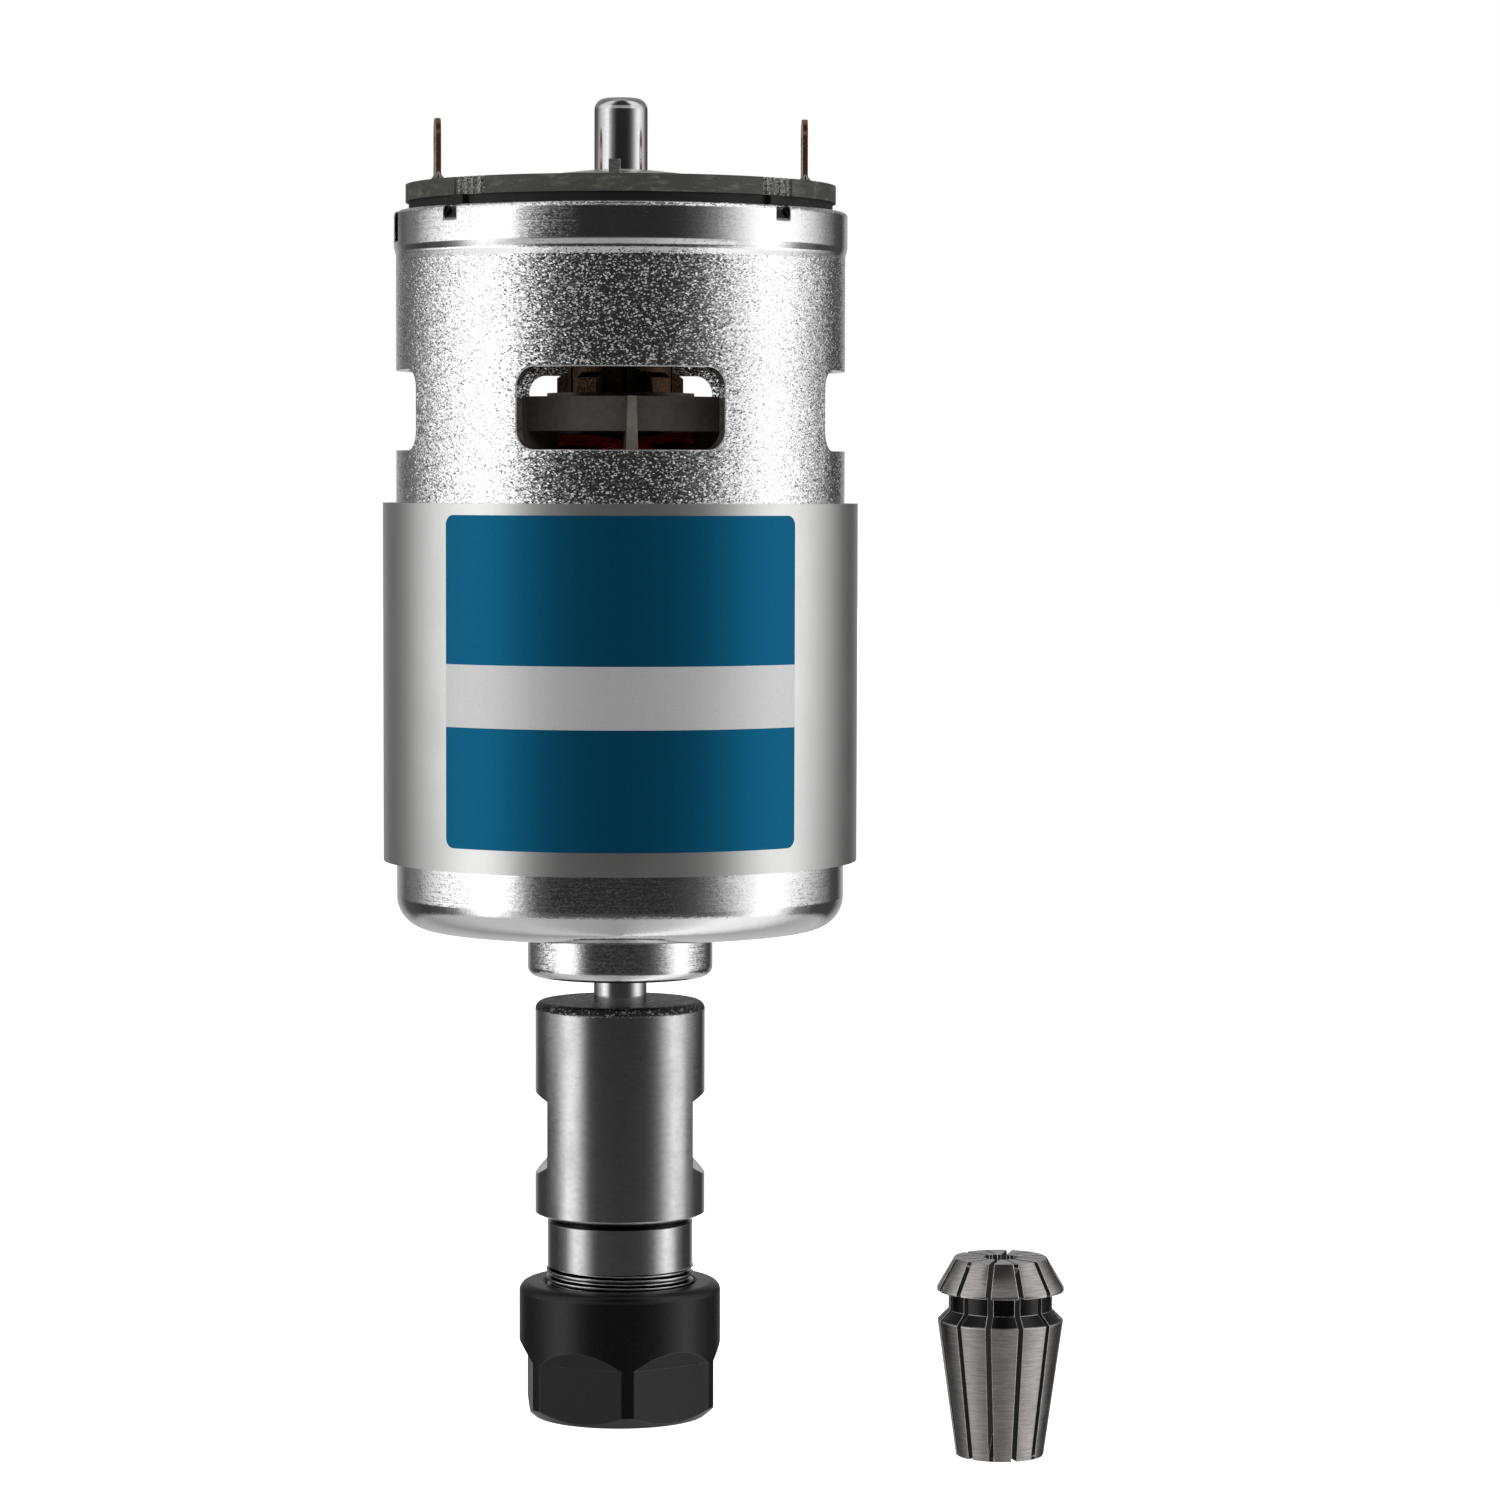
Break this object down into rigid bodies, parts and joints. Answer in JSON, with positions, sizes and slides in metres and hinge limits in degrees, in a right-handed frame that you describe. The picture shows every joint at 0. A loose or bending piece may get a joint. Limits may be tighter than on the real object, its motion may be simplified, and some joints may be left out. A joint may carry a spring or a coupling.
{
  "type": "motor spindle",
  "caption": "Brushed motor spindle: a steel-cased motor with cooling windows and a flux ring, whose shaft carries a collet chuck and nut, with a loose spring collet.",
  "frame": {"origin": "on the shaft axis, in the plane of the motor can's front face", "axes": "+Z along the shaft towards the rear end with the circuit board, -Y out of the labelled front, +X to its right"},
  "size_m": [0.0624, 0.0479, 0.1239],
  "materials": {
    "zinc_steel": "zinc plated, sparkling grain",
    "sleeve_steel": "satin, with a blue and silver printed label",
    "ground_steel": "ground and polished",
    "turned_steel": "fine turned",
    "black_oxide": "black oxide, satin",
    "collet_steel": "satin ground",
    "bearing_steel": "polished",
    "cage_brass": "pressed",
    "magnet_ferrite": "matt",
    "core_steel": "stacked laminations",
    "green_coating": "insulating coat",
    "enamelled_copper": "red enamel",
    "bare_copper": "worn copper",
    "brown_moulding": "phenolic",
    "grey_plastic": "moulded",
    "black_plastic": "moulded",
    "board_laminate": "glass fibre laminate with a dark green coat",
    "terminal_bronze": "bronze, tarnished",
    "brush_carbon": "graphite",
    "spring_steel": "drawn wire",
    "brass_sheet": "bent sheet",
    "chip_ceramic": "fired"
  },
  "bodies": {
    "housing": {"motor_can": "zinc_steel", "flux_ring": "sleeve_steel", "magnets": "magnet_ferrite", "magnet_clips": "spring_steel", "end_bell": "black_plastic", "rear_bearing_cap": "zinc_steel", "circuit_board": "board_laminate", "terminals": "terminal_bronze", "board_pin": "zinc_steel", "board_capacitors": "chip_ceramic", "left_brush_box": "brass_sheet", "right_brush_box": "brass_sheet", "left_brush_spring": "spring_steel", "right_brush_spring": "spring_steel", "front_bearing_outer_ring": "bearing_steel", "front_bearing_shields": "bearing_steel", "rear_bearing_outer_ring": "bearing_steel", "rear_bearing_shields": "bearing_steel"},
    "rotor": {"shaft": "ground_steel", "armature_core": "core_steel", "end_insulators": "green_coating", "windings": "enamelled_copper", "fan": "grey_plastic", "commutator_hub": "brown_moulding", "commutator_bars": "bare_copper", "front_spacer": "ground_steel", "rear_spacer": "ground_steel", "front_bearing_inner_ring": "bearing_steel", "rear_bearing_inner_ring": "bearing_steel", "chuck": "turned_steel", "chuck_set_screws": "black_oxide"},
    "front_ball_set": {"front_bearing_balls": "bearing_steel", "front_bearing_cage": "cage_brass"},
    "rear_ball_set": {"rear_bearing_balls": "bearing_steel", "rear_bearing_cage": "cage_brass"},
    "left_brush": {"left_brush": "brush_carbon"},
    "right_brush": {"right_brush": "brush_carbon"},
    "collet_nut": {"collet_nut": "black_oxide"},
    "collet": {"collet": "collet_steel"}
  },
  "joints": [
    {"name": "rotor_spin", "type": "hinge", "parent": "housing", "child": "rotor", "pos_m": [0, 0, 0], "axis": [0, 0, 1], "continuous": true},
    {"name": "front_balls_roll", "type": "hinge", "parent": "housing", "child": "front_ball_set", "pos_m": [0, 0, -0.0013], "axis": [0, 0, 1], "continuous": true},
    {"name": "rear_balls_roll", "type": "hinge", "parent": "housing", "child": "rear_ball_set", "pos_m": [0, 0, 0.0668], "axis": [0, 0, 1], "continuous": true},
    {"name": "left_brush_wear", "type": "slide", "parent": "housing", "child": "left_brush", "axis": [-1, 0, 0], "range_m": [0, 0.0015], "stiffness_N_per_m": 120, "springref_m": -0.006, "deforming": ["left_brush_spring"]},
    {"name": "right_brush_wear", "type": "slide", "parent": "housing", "child": "right_brush", "axis": [1, 0, 0], "range_m": [0, 0.0015], "stiffness_N_per_m": 120, "springref_m": -0.006, "deforming": ["right_brush_spring"]},
    {"name": "nut_unscrew", "type": "slide", "parent": "rotor", "child": "collet_nut", "axis": [0, 0, -1], "range_m": [0, 0.025]},
    {"name": "collet_lift", "type": "slide", "parent": "housing", "child": "collet", "axis": [0, 0, 1], "range_m": [0, 0.03]}
  ],
  "couplings": [
    {"joint": "front_balls_roll", "follows": "rotor_spin", "ratio": 0.35714},
    {"joint": "rear_balls_roll", "follows": "rotor_spin", "ratio": 0.37778}
  ]
}
